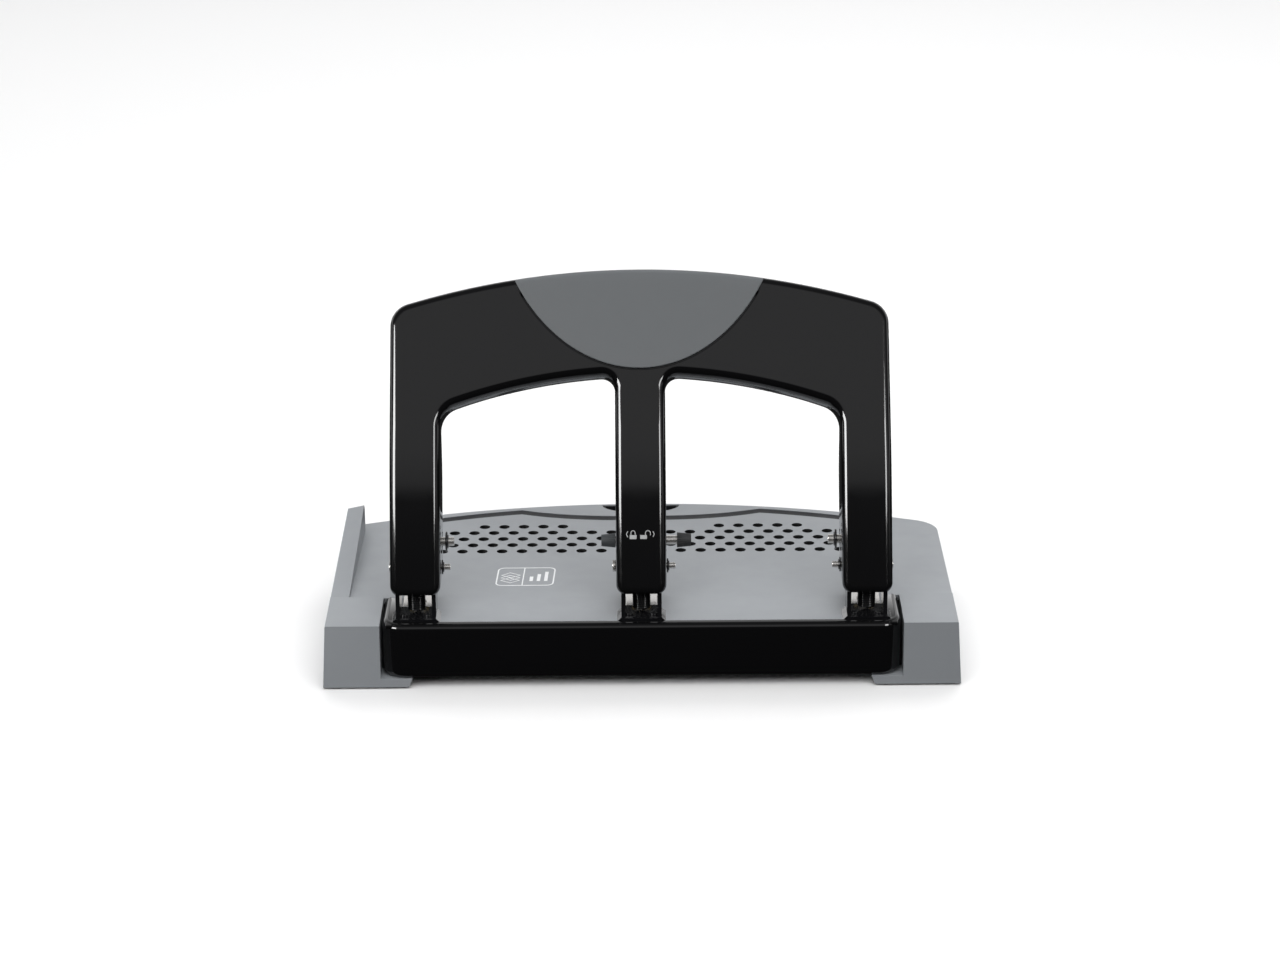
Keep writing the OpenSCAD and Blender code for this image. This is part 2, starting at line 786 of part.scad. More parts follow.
module tray_front() {
    bottom = foot_z + cover_t + 0.4;
    color([0.69, 0.71, 0.73]) placed() difference() {
        intersection() {
            base_block();
            translate([0, 0, bottom]) linear_extrude(big) intersection() {
                seam_region(seam_gap);
                translate([-tray_half + 0.4, 0]) square([2 * tray_half - 0.8, big]);
            }
        }
        linear_extrude(big) notch_outline(0);
        translate([-web_half, seam_y0, 0]) cube([2 * web_half, web_y + 0.3 - seam_y0, web_z + 0.3]);
    }
}

base_shell();
bottom_cover();
base_screws();
rubber_feet();
paper_guide();
punch_rail();
die_plate_left();
die_plate_middle();
die_plate_right();
head_bracket_left();
head_bracket_middle();
head_bracket_right();
bracket_rivets();
guide_bush_left();
guide_bush_middle();
guide_bush_right();
pivot_pin_left();
pivot_pin_middle();
pivot_pin_right();
pivot_washers();
return_spring_left();
return_spring_middle();
return_spring_right();
handle_shell();
grip_cap();
punch_left();
punch_middle();
punch_right();
drive_pin_left();
drive_pin_right();
drive_washers_left();
drive_washers_right();
lock_pin();
lock_knob_left();
lock_knob_right();
chip_tray();
tray_front();
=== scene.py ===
"""Looks of a three-hole lever punch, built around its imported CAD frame."""

import json
import math

import bmesh
import bpy
import numpy as np
from mathutils import Matrix, Quaternion, Vector
from mathutils.geometry import delaunay_2d_cdt


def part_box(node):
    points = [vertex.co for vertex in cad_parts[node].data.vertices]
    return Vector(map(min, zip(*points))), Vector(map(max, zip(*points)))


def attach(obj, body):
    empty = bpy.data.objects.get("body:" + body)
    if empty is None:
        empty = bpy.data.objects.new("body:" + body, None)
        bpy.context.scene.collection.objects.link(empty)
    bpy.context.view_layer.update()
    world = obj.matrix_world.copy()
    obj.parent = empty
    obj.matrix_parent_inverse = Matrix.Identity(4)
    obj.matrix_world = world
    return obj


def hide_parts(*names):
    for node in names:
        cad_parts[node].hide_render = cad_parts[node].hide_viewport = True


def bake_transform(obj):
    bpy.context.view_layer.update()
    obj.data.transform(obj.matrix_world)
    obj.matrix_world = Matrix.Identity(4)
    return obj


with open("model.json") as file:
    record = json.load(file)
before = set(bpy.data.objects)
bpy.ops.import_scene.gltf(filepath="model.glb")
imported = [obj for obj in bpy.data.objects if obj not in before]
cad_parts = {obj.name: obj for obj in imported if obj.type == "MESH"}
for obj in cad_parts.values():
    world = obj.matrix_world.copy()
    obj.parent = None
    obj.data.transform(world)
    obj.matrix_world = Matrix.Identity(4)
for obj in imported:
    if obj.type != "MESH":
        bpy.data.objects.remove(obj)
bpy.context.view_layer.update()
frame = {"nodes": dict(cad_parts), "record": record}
NODES = frame["nodes"]
MM = 0.001

# ---------------------------------------------------------------- sizes, in millimetres
FRONT_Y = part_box("base_shell")[0].y / MM  # the rail's front face
HEADS = {"left": -107.95, "middle": 0.0, "right": 107.95}
LEG_LEAN, PLATE_LEAN = math.radians(21.5), math.radians(32)
LEG_FOOT = (3.0, 45.7)
BEND_Z, BEND_R = 90.0, 200.0
LEG_HALF = 24.1 / 2
HANDLE_HALF = HEADS["right"] + LEG_HALF
BEND_Y = LEG_FOOT[0] + (BEND_Z - LEG_FOOT[1]) * math.tan(LEG_LEAN)
BEND_END_Y = BEND_Y + BEND_R * (math.cos(LEG_LEAN) - math.cos(PLATE_LEAN))
BEND_END_Z = BEND_Z + BEND_R * (math.sin(PLATE_LEAN) - math.sin(LEG_LEAN))
HANDLE_Z = 187.0
PLATE_LEN = (HANDLE_Z - BEND_END_Z) / math.cos(PLATE_LEAN)
BEND_LEN = BEND_R * (PLATE_LEAN - LEG_LEAN)
LEG_LEN = (BEND_Z - LEG_FOOT[1]) / math.cos(LEG_LEAN)
FOOT_W = -BEND_LEN - LEG_LEN
FOOT_DEPTH = 4.2
TOP_R, TOP_CORNER_R = 386.0, 11.5
WINDOW_R, WINDOW_TOP = 269.0, PLATE_LEN - 52
SHEET_T = 1.8
ROLL_R = 4.2  # rolled edge of the handle
CAP_A, CAP_B = 72.0, 98.0  # semi-axes of the cap's lower edge, across and up the sheet
CAP_W = PLATE_LEN - 50 + CAP_B  # centre of that ellipse
CAP_TOP_INSET = 0.6
CAP_PROUD = 0.7
PIVOT = (20.0, 55.0)
DRIVE = (32.5, 63.3)
PLATFORM_Z = 31.5
DIE_Z = 32.3
CREASE_Y = 38.0


# ---------------------------------------------------------------- node material helpers
class Shade:
    """A small builder for one procedural material."""

    def __init__(self, name, color, rough, metallic=0.0):
        self.m = bpy.data.materials.new(name)
        self.m.use_nodes = True
        self.t = self.m.node_tree
        self.bsdf = self.t.nodes["Principled BSDF"]
        self.bsdf.inputs["Base Color"].default_value = (*color, 1)
        self.bsdf.inputs["Roughness"].default_value = rough
        self.bsdf.inputs["Metallic"].default_value = metallic
        self.color, self.rough = color, rough
        self.height = None

    def node(self, kind, **values):
        n = self.t.nodes.new(kind)
        for k, v in values.items():
            if k in n.inputs:
                n.inputs[k].default_value = v
            else:
                setattr(n, k, v)
        return n

    def link(self, a, b):
        self.t.links.new(a, b)

    def coords(self, scale=(1, 1, 1)):
        tc = self.node("ShaderNodeTexCoord")
        mp = self.node("ShaderNodeMapping")
        mp.inputs["Scale"].default_value = scale
        self.link(tc.outputs["Object"], mp.inputs["Vector"])
        return mp.outputs["Vector"]

    def noise(self, scale, detail=4.0, roughness=0.55, stretch=(1, 1, 1)):
        n = self.node("ShaderNodeTexNoise", Scale=scale, Detail=detail, Roughness=roughness)
        self.link(self.coords(stretch), n.inputs["Vector"])
        return n.outputs["Fac"]

    def ramp(self, fac, lo, hi, a, b):
        r = self.node("ShaderNodeMapRange")
        r.inputs["From Min"].default_value = lo
        r.inputs["From Max"].default_value = hi
        r.inputs["To Min"].default_value = a
        r.inputs["To Max"].default_value = b
        self.link(fac, r.inputs["Value"])
        return r.outputs["Result"]

    def mix_color(self, fac, c1, c2):
        mx = self.node("ShaderNodeMix", data_type="RGBA")
        mx.inputs[6].default_value = (*c1, 1)
        mx.inputs[7].default_value = (*c2, 1)
        self.link(fac, mx.inputs[0])
        return mx.outputs[2]

    def tint(self, fac, spread):
        """Varies the base colour by a few percent along a noise."""
        dark = tuple(c * (1 - spread) for c in self.color)
        light = tuple(min(1, c * (1 + spread)) for c in self.color)
        self.link(self.mix_color(fac, dark, light), self.bsdf.inputs["Base Color"])

    def vary_rough(self, fac, spread):
        lo, hi = max(0.02, self.rough - spread), min(1, self.rough + spread)
        self.link(self.ramp(fac, 0.3, 0.7, lo, hi), self.bsdf.inputs["Roughness"])

    def bump(self, fac, strength, distance):
        b = self.node("ShaderNodeBump", Strength=strength, Distance=distance)
        self.link(fac, b.inputs["Height"])
        if self.height is not None:
            self.link(self.height, b.inputs["Normal"])
        self.height = b.outputs["Normal"]
        self.link(self.height, self.bsdf.inputs["Normal"])


def moulded_plastic(name, color, rough, grain=900, spread=0.04, ior=1.49):
    """Satin moulded plastic: fine spark-eroded grain, faint flow marks, slightly uneven gloss."""
    s = Shade(name, color, rough)
    s.bsdf.inputs["IOR"].default_value = ior
    s.tint(s.noise(14, 3), spread)
    s.vary_rough(s.noise(60, 5), 0.07)
    s.bump(s.noise(grain, 2), 0.12, 0.00012)
    s.bump(s.noise(26, 2), 0.05, 0.0004)
    return s.m


def gloss_enamel(name, color, rough=0.07):
    """Stoved gloss enamel on pressed steel, with a faint orange peel."""
    s = Shade(name, color, rough)
    s.bsdf.inputs["IOR"].default_value = 1.5
    s.bsdf.inputs["Coat Weight"].default_value = 0.35
    s.bsdf.inputs["Coat Roughness"].default_value = 0.03
    s.tint(s.noise(9, 2), 0.08)
    s.vary_rough(s.noise(45, 4), 0.025)
    s.bump(s.noise(340, 2), 0.03, 0.00006)
    return s.m


def soft_touch(name, color, rough=0.62):
    """Soft-touch grip: matte, a fine velvet grain and a faint sheen."""
    s = Shade(name, color, rough)
    s.bsdf.inputs["IOR"].default_value = 1.47
    s.bsdf.inputs["Sheen Weight"].default_value = 0.12
    s.bsdf.inputs["Sheen Roughness"].default_value = 0.5
    s.tint(s.noise(22, 4), 0.03)
    s.vary_rough(s.noise(90, 4), 0.05)
    s.bump(s.noise(1500, 2), 0.15, 0.0001)
    return s.m


def turned_steel(name, color, rough, along=(1, 30, 30), metallic=1.0):
    """Turned or drawn steel with fine lines across its axis."""
    s = Shade(name, color, rough, metallic)
    s.tint(s.noise(120, 3, stretch=along), 0.08)
    s.vary_rough(s.noise(160, 4, stretch=along), 0.09)
    s.bump(s.noise(420, 2, stretch=along), 0.06, 0.00005)
    return s.m


def black_steel(name, color=(0.006, 0.006, 0.007), rough=0.14):
    """Black-finished pressed steel."""
    s = Shade(name, color, rough)
    s.bsdf.inputs["Coat Weight"].default_value = 0.3
    s.bsdf.inputs["Coat Roughness"].default_value = 0.12
    s.tint(s.noise(50, 4), 0.2)
    s.vary_rough(s.noise(110, 5), 0.1)
    s.bump(s.noise(500, 3), 0.08, 0.00008)
    return s.m


def rubber(name, color, rough=0.7):
    """Matte rubber with an uneven grain."""
    s = Shade(name, color, rough)
    s.tint(s.noise(70, 4), 0.12)
    s.vary_rough(s.noise(130, 4), 0.08)
    s.bump(s.noise(1100, 3), 0.2, 0.00012)
    return s.m


def print_ink(name, color, rough=0.45):
    """Printed ink of one colour."""
    s = Shade(name, color, rough)
    s.tint(s.noise(200, 4), 0.03)
    s.vary_rough(s.noise(300, 4), 0.06)
    return s.m


MAT = {
    "grey_plastic": moulded_plastic("grey_plastic", (0.275, 0.29, 0.307), 0.42),
    "dark_plastic": moulded_plastic("dark_plastic", (0.012, 0.013, 0.015), 0.45, spread=0.08, ior=1.25),
    "black_enamel": gloss_enamel("black_enamel", (0.0028, 0.0028, 0.0032)),
    "soft_grip": soft_touch("soft_grip", (0.108, 0.116, 0.122)),
    "steel": turned_steel("steel", (0.84, 0.82, 0.79), 0.2, metallic=0.85),
    "black_steel": black_steel("black_steel"),
    "brass": turned_steel("brass", (0.6, 0.46, 0.2), 0.3, (30, 30, 1)),
    "knob_rubber": rubber("knob_rubber", (0.05, 0.055, 0.059), 0.6),
    # a darker copy of the knob rubber: painted shade for the right knob, which gets less light than the left
    # one
    "knob_rubber_painted_shade": rubber("knob_rubber_painted_shade", (0.026, 0.027, 0.028), 0.6),
    "foot_rubber": rubber("foot_rubber", (0.012, 0.012, 0.012)),
    # near-black paint for the walls of the chip window holes: painted shade, not a plastic of the punch
    "hole_shade_paint": rubber("hole_shade_paint", (0.002, 0.002, 0.002), 0.9),
    "white_ink": print_ink("white_ink", (0.78, 0.79, 0.8)),
    "grey_ink": print_ink("grey_ink", (0.42, 0.43, 0.43)),
}


# ---------------------------------------------------------------- mesh helpers
def new_object(name, bm, slot_name, body, replaced=(), material=None, smooth=True):
    mesh = bpy.data.meshes.new(name)
    bm.normal_update()
    bm.to_mesh(mesh)
    bm.free()
    for p in mesh.polygons:
        p.use_smooth = smooth
    mesh.materials.append(MAT[material or slot_name])
    obj = bpy.data.objects.new(name, mesh)
    bpy.context.scene.collection.objects.link(obj)
    if body:
        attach(obj, body)
    if replaced:
        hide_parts(*replaced)
    return obj


def apply_modifiers(obj):
    deps = bpy.context.evaluated_depsgraph_get()
    done = bpy.data.meshes.new_from_object(obj.evaluated_get(deps))
    obj.modifiers.clear()
    obj.data = done


def shade_by_angle(obj, degrees=35):
    mesh = obj.data
    mesh.shade_smooth()
    mesh.set_sharp_from_angle(angle=math.radians(degrees))


def weigh_normals(obj):
    """Large flat faces keep their own normals, so the roundings beside them shade cleanly."""
    mod = obj.modifiers.new("normals", "WEIGHTED_NORMAL")
    mod.keep_sharp = True
    mod.weight = 100
    bpy.context.view_layer.update()
    deps = bpy.context.evaluated_depsgraph_get()
    done = bpy.data.meshes.new_from_object(
        obj.evaluated_get(deps), preserve_all_data_layers=True, depsgraph=deps
    )
    obj.modifiers.clear()
    obj.data = done


def rounded_copy(node, slot_name, body, width, segments=3, angle=32, share=None):
    """A copy of a CAD piece with its flat faces rebuilt and its edges rounded.
    share(point) gives the part of the width used at a point, all of it when left out."""
    bm = bmesh.new()
    bm.from_mesh(NODES[node].data)
    bmesh.ops.remove_doubles(bm, verts=bm.verts, dist=0.002 * MM)
    bmesh.ops.dissolve_limit(
        bm, angle_limit=math.radians(0.6), verts=bm.verts, edges=bm.edges, delimit={"NORMAL"}
    )
    weights = bm.edges.layers.float.new("bevel_weight_edge")
    for edge in bm.edges:
        if edge.calc_face_angle(0) > math.radians(angle):
            middle = (edge.verts[0].co + edge.verts[1].co) / 2
            edge[weights] = share(middle) if share else 1.0
    obj = new_object(node + "_finished", bm, slot_name, body, [node])
    bevel = obj.modifiers.new("edges", "BEVEL")
    bevel.width = width * MM
    bevel.segments = segments
    bevel.limit_method = "WEIGHT"
    bevel.miter_outer = "MITER_ARC"
    bevel.use_clamp_overlap = True
    bpy.context.view_layer.update()
    apply_modifiers(obj)
    shade_by_angle(obj, 28)
    weigh_normals(obj)
    obj.data.materials.clear()
    obj.data.materials.append(MAT[slot_name])
    return obj


def bridge(bm, rings):
    """Joins each closed ring of vertices to the next with quads."""
    count = len(rings[0])
    for a, b in zip(rings, rings[1:]):
        for i in range(count):
            j = (i + 1) % count
            bm.faces.new((a[i], a[j], b[j], b[i]))


def to_frame(x, y, z):
    """A point of the modelling frame, in millimetres, as a place in the scene."""
    return (x * MM, (y + FRONT_Y) * MM, z * MM)


# ---------------------------------------------------------------- handle
def profile(w, depth):
    """A point of the handle's section, w up the sheet from the bend's end, depth behind the face."""
    if w >= 0:
        lean, y, z = PLATE_LEAN, BEND_END_Y + w * math.sin(PLATE_LEAN), BEND_END_Z + w * math.cos(PLATE_LEAN)
    elif w >= -BEND_LEN:
        lean = PLATE_LEAN + w / BEND_R
        y = BEND_Y + BEND_R * (math.cos(LEG_LEAN) - math.cos(lean))
        z = BEND_Z + BEND_R * (math.sin(lean) - math.sin(LEG_LEAN))
    else:
        lean, down = LEG_LEAN, w + BEND_LEN
        y, z = BEND_Y + down * math.sin(LEG_LEAN), BEND_Z + down * math.cos(LEG_LEAN)
    return y + depth * math.cos(lean), z - depth * math.sin(lean)


def arc(cx, cy, r, a0, a1, n):
    """Points along an arc from a0 to a1 degrees, both ends included."""
    angles = [math.radians(a0 + (a1 - a0) * i / n) for i in range(n + 1)]
    return [(cx + r * math.cos(a), cy + r * math.sin(a)) for a in angles]


def fillet_centre(circle_r, circle_cy, side_x, r, side):
    """Centre of a fillet inside a big circle centred on x=0 and beside a vertical line.
    side is 1 when the fillet lies to the left of the line, and -1 when it lies to the right."""
    cx = side_x - side * r
    cy = circle_cy + math.sqrt((circle_r - r) ** 2 - cx**2)
    return cx, cy


def handle_outline():
    """The comb-shaped outline of the handle, counter-clockwise, in sheet coordinates."""
    foot_r, foot_end, straight_gap = 4.3, FOOT_W + 8, 4
    top_cy = PLATE_LEN - TOP_R
    win_cy = WINDOW_TOP - WINDOW_R
    cx, cy = fillet_centre(TOP_R, top_cy, HANDLE_HALF, TOP_CORNER_R, 1)
    top_angle = math.degrees(math.atan2(cy - top_cy, cx))
    right = []
    x0, x1 = HEADS["right"] - LEG_HALF, HANDLE_HALF
    # right leg foot, then up the outer side and round the top corner
    right += arc(x1 - foot_r, FOOT_W + foot_r, foot_r, -90, 0, 6)
    right += [(x1, w) for w in np.linspace(foot_end, cy - straight_gap, 40)]
    right += arc(cx, cy, TOP_CORNER_R, 0, top_angle, 14)
    right += arc(0, top_cy, TOP_R, top_angle, 90, 60)[1:]
    left = [(-x, w) for x, w in reversed(right[:-1])]
    outer = right + left

    def window():
        """From the outer leg's inner foot, over the window, to the middle leg's foot (right side)."""
        pts = []
        inner_r, outer_r = 6.5, 11.0
        ox, oy = fillet_centre(WINDOW_R, win_cy, x0, outer_r, 1)
        ix, iy = fillet_centre(WINDOW_R, win_cy, LEG_HALF, inner_r, -1)
        oa = math.degrees(math.atan2(oy - win_cy, ox))
        ia = math.degrees(math.atan2(iy - win_cy, ix))
        pts += arc(x0 + foot_r, FOOT_W + foot_r, foot_r, -90, -180, 6)
        pts += [(x0, w) for w in np.linspace(foot_end, oy - straight_gap, 40)]
        pts += arc(ox, oy, outer_r, 0, oa, 12)
        pts += arc(0, win_cy, WINDOW_R, oa, ia, 40)[1:-1]
        pts += arc(ix, iy, inner_r, ia, 180, 12)
        pts += [(LEG_HALF, w) for w in np.linspace(iy - straight_gap, foot_end, 40)]
        pts += arc(LEG_HALF - foot_r, FOOT_W + foot_r, foot_r, 0, -90, 6)
        return pts

    # counter-clockwise: right outer side up, over the top, left outer side down, left window, right window
    right_window = window()
    left_window = [(-x, w) for x, w in right_window]
    return outer + left_window + right_window[::-1]


def resample(loop, step):
    """Adds points so that no side of the loop is longer than step."""
    out = []
    for (x0, y0), (x1, y1) in zip(loop, loop[1:] + loop[:1]):
        n = max(1, int(math.ceil(math.hypot(x1 - x0, y1 - y0) / step)))
        out += [(x0 + (x1 - x0) * i / n, y0 + (y1 - y0) * i / n) for i in range(n)]
    return out


def loop_normals(loop):
    """Outward unit normals of a counter-clockwise loop."""
    p = np.array(loop)
    d1 = p - np.roll(p, 1, 0)
    d2 = np.roll(p, -1, 0) - p
    n1 = np.stack([d1[:, 1], -d1[:, 0]], 1)
    n2 = np.stack([d2[:, 1], -d2[:, 0]], 1)
    n1 /= np.linalg.norm(n1, axis=1)[:, None] + 1e-12
    n2 /= np.linalg.norm(n2, axis=1)[:, None] + 1e-12
    n = n1 + n2
    return n / (np.linalg.norm(n, axis=1)[:, None] + 1e-12)


def fill_region(bm, loop_verts, loop_xy, place, spacing, flip, lines=(), clear=0.0):
    """Fills a closed loop with a fine triangle net; place maps (x, y, depth) to 3D.
    lines are open rows of (x, y, depth) that the net follows; clear keeps the net away from them."""
    pts = np.array(loop_xy)
    lo, hi = pts.min(0), pts.max(0)
    grid = [
        (x, y)
        for j, y in enumerate(np.arange(lo[1] + spacing / 2, hi[1], spacing * 0.866))
        for x in np.arange(lo[0] + spacing / 2 + (j % 2) * spacing / 2, hi[0], spacing)
    ]
    inside = points_inside(grid, loop_xy, spacing * 0.45)
    grid = [g for g, ok in zip(grid, inside) if ok]
    row_points = np.array([p[:2] for row in lines for p in row])
    if len(row_points):
        grid = [g for g in grid if np.min(np.linalg.norm(row_points - g, axis=1)) > clear]
    n = len(loop_xy)
    coords, known = [Vector(p) for p in loop_xy], {}
    edges = [(i, (i + 1) % n) for i in range(n)]
    for row in lines:
        for k, (x, y, depth) in enumerate(row):
            known[len(coords)] = depth
            if k:
                edges.append((len(coords) - 1, len(coords)))
            coords.append(Vector((x, y)))
    coords += [Vector(g) for g in grid]
    verts, _, faces, orig, _, _ = delaunay_2d_cdt(coords, edges, [list(range(n))], 1, 1e-6)
    table = []
    for v, o in zip(verts, orig):
        rim = [k for k in o if k < n]
        if rim:
            table.append(loop_verts[rim[0]])
        else:
            depth = next((known[k] for k in o if k in known), 0.0)
            table.append(bm.verts.new(place(v.x, v.y, depth)))
    for f in faces:
        vs = [table[i] for i in f]
        if len(set(vs)) == 3:
            try:
                bm.faces.new(vs[::-1] if flip else vs)
            except ValueError:
                pass


def points_inside(points, loop, margin):
    """For each point, whether it lies inside the loop and further than margin from its sides."""
    p = np.array(points)
    a = np.array(loop)
    b = np.roll(a, -1, 0)
    odd = np.zeros(len(p), bool)
    near = np.full(len(p), 1e9)
    for (ax, ay), (bx, by) in zip(a, b):
        crosses = (ay > p[:, 1]) != (by > p[:, 1])
        if ay != by:
            xs = ax + (p[:, 1] - ay) * (bx - ax) / (by - ay)
            odd ^= crosses & (p[:, 0] < xs)
        d = np.array([bx - ax, by - ay])
        t = np.clip(((p - [ax, ay]) @ d) / max(d @ d, 1e-12), 0, 1)
        near = np.minimum(near, np.linalg.norm(p - ([ax, ay] + t[:, None] * d), axis=1))
    return odd & (near > margin)


def smoothstep(t):
    t = min(1.0, max(0.0, t))
    return t * t * (3 - 2 * t)


def wall_depth(w):
    """How far the side walls reach behind the face: deep on the legs, shallow on the plate."""
    leg_wall, plate_wall, start, span = 26.0, 12.0, -26, 40
    return leg_wall + (plate_wall - leg_wall) * smoothstep((w - start) / span)


def lean_at(w):
    """Lean of the handle's sheet from the upright at w."""
    return PLATE_LEAN + min(0.0, max(w, -BEND_LEN)) / BEND_R


FACE_NORMALS = {}  # exact normals of the handle's outer face, by the vertices' rounded places


def place_key(point):
    return tuple(round(c * 1e6) for c in point)


def build_handle():
    """The handle as one pressing: a rolled rim round a flat face, with side walls behind it."""
    loop = resample(handle_outline(), 3.0)
    normals = loop_normals(loop)
    inner_roll = 1.0
    foot_h, turn = 3.7, 0.25  # the wall grows shallow where the outline turns under a foot
    depths = []
    for (x, w), n in zip(loop, normals):
        d = wall_depth(w)
        if w < FOOT_W + foot_h:
            d = FOOT_DEPTH + (d - FOOT_DEPTH) * smoothstep((abs(n[0]) - 1 + turn) / turn)
        depths.append(d)
    level_start, level_span = FOOT_W + 2, 26

    def place(x, w, depth):
        # the feet of the walls are cut level, so they rise behind the face
        share = 1 - smoothstep((w - level_start) / level_span)
        level = depth * math.tan(LEG_LEAN) * share
        y, z = profile(w + level, depth)
        point = to_frame(x, y, z)
        if depth == 0:
            lean = lean_at(w)
            FACE_NORMALS[place_key(Vector(point))] = Vector((0, -math.cos(lean), math.sin(lean)))
        return point

    # section of the rim: inset, and depth as a function of the wall's depth
    rim = []
    for a in np.linspace(0, math.pi / 2, 9):
        rim.append((ROLL_R * (1 - math.sin(a)), lambda d, a=a: ROLL_R * (1 - math.cos(a))))
    for share in (0.35, 0.7):
        rim.append((0.0, lambda d, s=share: ROLL_R + (d - ROLL_R - 0.4) * s))
    wall_end = ((0.0, 0.4), (0.12, 0.12), (0.4, 0.0))
    wall_end += tuple((SHEET_T - inset, back) for inset, back in wall_end[::-1])
    for inset, back in wall_end:
        rim.append((inset, lambda d, b=back: d - b))
    rim.append((SHEET_T, lambda d: SHEET_T + inner_roll + (d - SHEET_T - inner_roll) * 0.4))
    for a in np.linspace(0, math.pi / 2, 4):
        inset = SHEET_T + inner_roll * (1 - math.cos(a))
        rim.append((inset, lambda d, a=a: SHEET_T + inner_roll * (1 - math.sin(a))))
    bm = bmesh.new()
    rings = []
    for inset, depth_of in rim:
        rings.append([
            bm.verts.new(place(x - n[0] * inset, w - n[1] * inset, depth_of(d)))
            for (x, w), n, d in zip(loop, normals, depths)
        ])
    bridge(bm, rings)

    def inset_loop(inset):
        return [(x - n[0] * inset, w - n[1] * inset) for (x, w), n in zip(loop, normals)]

    fill_region(bm, rings[0], inset_loop(ROLL_R), place, 5.0, False, groove_rows(), 2.2)
    inner_loop = inset_loop(SHEET_T + inner_roll)
    fill_region(bm, rings[-1], inner_loop, lambda x, w, _: place(x, w, SHEET_T), 6.0, True)
    bmesh.ops.recalc_face_normals(bm, faces=bm.faces)
    return new_object("handle_pressing", bm, "black_enamel", "handle", ["handle_shell"])


def exact_face_normals(obj):
    """Sets the exact normals on the outer face, so that reflections run smoothly over the bend."""
    mesh = obj.data
    normals = [n.vector.copy() for n in mesh.corner_normals]
    for face in mesh.polygons:
        for corner in face.loop_indices:
            place = mesh.vertices[mesh.loops[corner].vertex_index].co
            exact = FACE_NORMALS.get(place_key(place))
            if exact and face.normal.dot(exact) > 0.9:
                normals[corner] = exact
    mesh.normals_split_custom_set(normals)


def groove_rows():
    """Rows of points that press a narrow groove into the plate along the cap's lower edge."""
    deep, ends, fade = 0.5, 1.5, 3
    rows = []
    for offset, share in ((-0.9, 0), (-0.5, 1), (0.55, 1), (0.9, 0)):
        row = []
        for a in np.linspace(math.pi, 2 * math.pi, 141):
            x, w = CAP_A * math.cos(a), CAP_W + CAP_B * math.sin(a)
            nx, nw = math.cos(a) / CAP_A, math.sin(a) / CAP_B
            length = math.hypot(nx, nw)
            x, w = x + nx / length * offset, w + nw / length * offset
            room = TOP_R - ROLL_R - math.hypot(x, w - PLATE_LEN + TOP_R)
            if room > ends:
                row.append((x, w, deep * share * smoothstep((room - ends) / fade)))
        rows.append(row)
    return rows


def cut(obj, cutter):
    """Takes the closed mesh of cutter out of obj and removes the cutter."""
    mod = obj.modifiers.new("cut", "BOOLEAN")
    mod.operation, mod.solver, mod.object = "DIFFERENCE", "EXACT", cutter
    bpy.context.view_layer.update()
    apply_modifiers(obj)
    bpy.data.objects.remove(cutter)


def prism_cutter(points_yz, x0, x1):
    """A closed prism along x from an outline in (y, z), in millimetres of the modelling frame."""
    bm = bmesh.new()
    ends = [
        [bm.verts.new(to_frame(x, y, z)) for y, z in points_yz] for x in (x0, x1)
    ]
    bridge(bm, ends)
    bm.faces.new(ends[0][::-1])
    bm.faces.new(ends[1])
    bmesh.ops.recalc_face_normals(bm, faces=bm.faces)
    mesh = bpy.data.meshes.new("cutter")
    bm.to_mesh(mesh)
    bm.free()
    obj = bpy.data.objects.new("cutter", mesh)
    bpy.context.scene.collection.objects.link(obj)
    return obj


def stadium(center, heading, reach0, reach1, r):
    """Outline of a slot around two points at reach0 and reach1 from center along heading (radians)."""
    c, s = math.cos(heading), math.sin(heading)
    local = arc(reach1, 0, r, -90, 90, 16) + arc(reach0, 0, r, 90, 270, 16)
    return [(center[0] + u * c - v * s, center[1] + u * s + v * c) for u, v in local]


handle = build_handle()
arm = math.atan2(DRIVE[1] - PIVOT[1], DRIVE[0] - PIVOT[0])
arm_far = math.hypot(DRIVE[1] - PIVOT[1], DRIVE[0] - PIVOT[0])
SLOT_R, SLOT_PLAY, PIN_HOLE_R = 2.85, 0.5, 1.55
slot_outline = stadium(PIVOT, arm, DRIVE[0] - PIVOT[0] - SLOT_PLAY, arm_far + SLOT_PLAY, SLOT_R)
hole_outline = arc(*PIVOT, PIN_HOLE_R, 0, 345, 23)
for head_x in HEADS.values():
    for outline in (slot_outline, hole_outline):
        cut(handle, prism_cutter(outline, head_x - LEG_HALF - 8, head_x + LEG_HALF + 8))
handle.data.materials.clear()
handle.data.materials.append(MAT["black_enamel"])
shade_by_angle(handle, 40)
exact_face_normals(handle)


# ---------------------------------------------------------------- grip cap
def cap_outline():
    """Closed outline of the cap, counter-clockwise, with small rounded corners."""
    corner_r, top_r = 2.5, TOP_R - CAP_TOP_INSET
    top_cy = PLATE_LEN - TOP_R
    low = [
        (CAP_A * math.cos(math.radians(a)), CAP_W + CAP_B * math.sin(math.radians(a)))
        for a in np.linspace(180, 360, 721)
    ]
    low = [p for p in low if math.hypot(p[0], p[1] - top_cy) < top_r]
    a1 = math.degrees(math.atan2(low[-1][1] - top_cy, low[-1][0]))
    loop = low[::4] + arc(0, top_cy, top_r, a1, 180 - a1, 60)[1:-1]
    # soften the two corners
    pts = np.array(resample(loop, 0.5))
    for corner in (low[0], low[-1]):
        near = np.linalg.norm(pts - corner, axis=1) < corner_r * 3
        for _ in range(14):
            smooth = (np.roll(pts, 1, 0) + np.roll(pts, -1, 0)) / 2
            pts[near] = pts[near] * 0.4 + smooth[near] * 0.6
    return [tuple(p) for p in pts[::2]]


def sheet_depth(x, w):
    """Depth of the handle's outer surface near its rolled top edge."""
    edge = TOP_R - math.hypot(x, w - PLATE_LEN + TOP_R)
    if edge >= ROLL_R:
        return 0.0
    return ROLL_R - math.sqrt(max(0.0, ROLL_R**2 - (ROLL_R - edge) ** 2))


